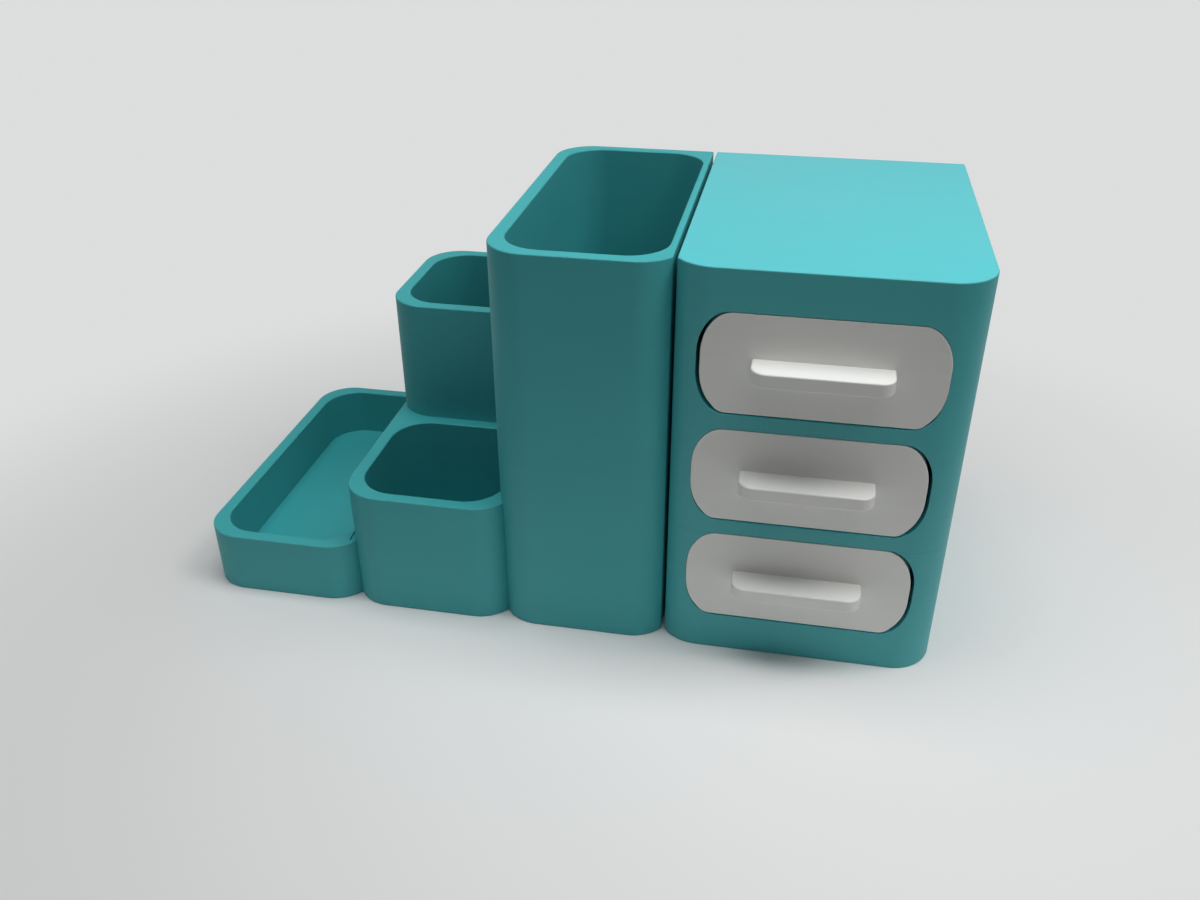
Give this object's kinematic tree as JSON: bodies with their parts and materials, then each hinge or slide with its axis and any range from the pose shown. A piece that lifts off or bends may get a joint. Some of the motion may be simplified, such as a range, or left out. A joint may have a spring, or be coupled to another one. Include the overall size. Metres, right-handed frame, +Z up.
{
  "type": "desk caddy with drawers",
  "caption": "Stepped desk caddy with an open tray, pen cups rising to the right, and a block of pull-out drawers with flat tab pulls.",
  "frame": {"origin": "on the desk, at the middle of the footprint with the drawer pulls counted in", "axes": "+X to the right along the width, from the tray to the drawers; +Y to the back; +Z up. The drawer fronts face -Y"},
  "size_m": [0.2268, 0.1134, 0.12],
  "materials": {
    "teal_plastic": "printed matte, fine level layer lines",
    "white_plastic": "printed matte, fine level layer lines",
    "pad_foam": "closed-cell foam"
  },
  "bodies": {
    "caddy": {"tiered_holder": "teal_plastic", "drawer_housing": "teal_plastic", "joining_pads": "pad_foam"},
    "top_drawer": {"drawer_top": "white_plastic", "pull_top": "white_plastic"},
    "middle_drawer": {"drawer_middle": "white_plastic", "pull_middle": "white_plastic"},
    "bottom_drawer": {"drawer_bottom": "white_plastic", "pull_bottom": "white_plastic"}
  },
  "joints": [
    {"name": "top_drawer_slide", "type": "slide", "parent": "caddy", "child": "top_drawer", "axis": [0, -1, 0], "range_m": [0, 0.075]},
    {"name": "middle_drawer_slide", "type": "slide", "parent": "caddy", "child": "middle_drawer", "axis": [0, -1, 0], "range_m": [0, 0.075]},
    {"name": "bottom_drawer_slide", "type": "slide", "parent": "caddy", "child": "bottom_drawer", "axis": [0, -1, 0], "range_m": [0, 0.075]}
  ]
}
